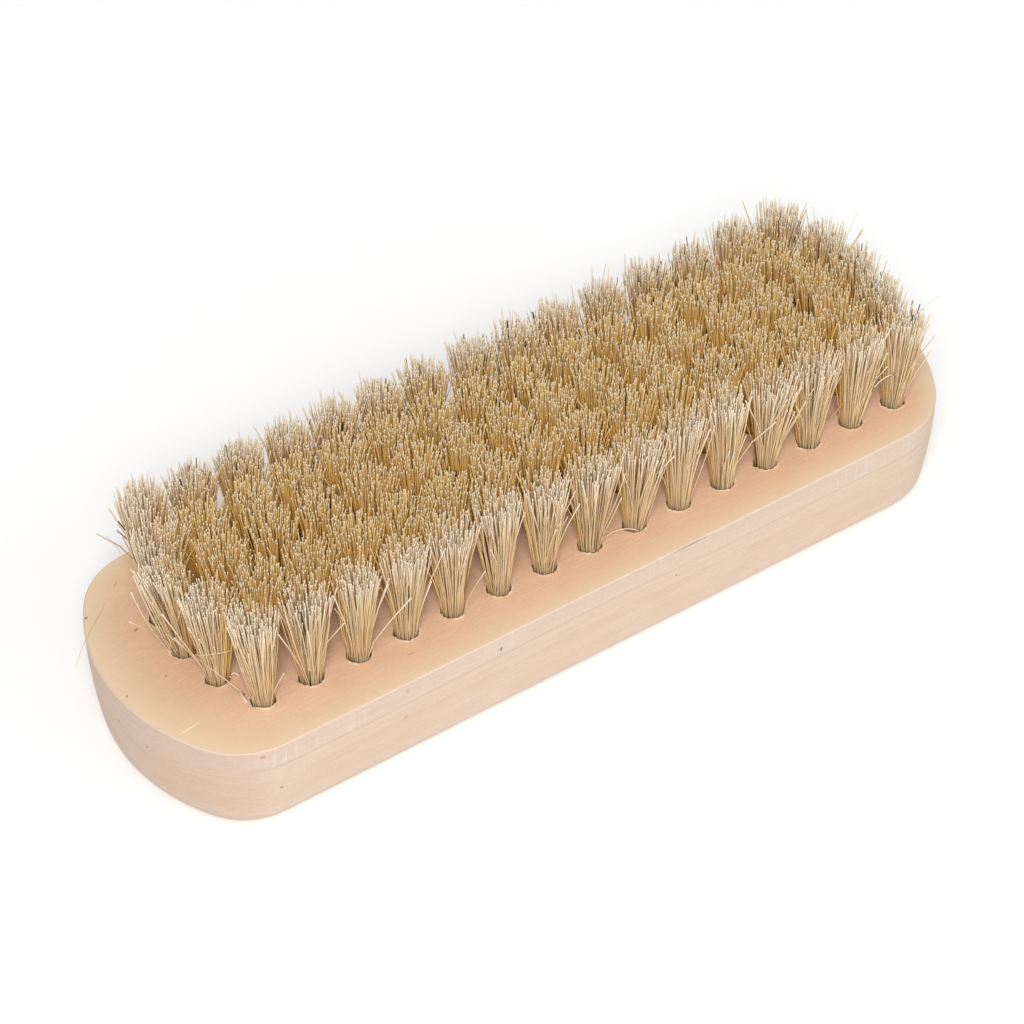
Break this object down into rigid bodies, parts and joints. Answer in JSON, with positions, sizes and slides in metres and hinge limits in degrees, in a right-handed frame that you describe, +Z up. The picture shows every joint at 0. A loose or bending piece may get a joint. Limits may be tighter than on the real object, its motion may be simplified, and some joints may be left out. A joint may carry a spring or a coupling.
{
  "type": "polishing brush",
  "caption": "Polishing brush: a solid rounded wooden block with rows of stiff bristle tufts set in drilled holes, lying on its back.",
  "frame": {"origin": "middle of the block's flat back, which the brush lies on", "axes": "+X along the block, +Y across it, +Z up through the bristles"},
  "size_m": [0.1594, 0.051, 0.0412],
  "materials": {
    "wood": "bare sanded",
    "bristle": "natural bristle"
  },
  "bodies": {
    "root": {"block": "wood", "bristles_front": "bristle", "bristles_middle": "bristle", "bristles_rear": "bristle"}
  },
  "joints": []
}
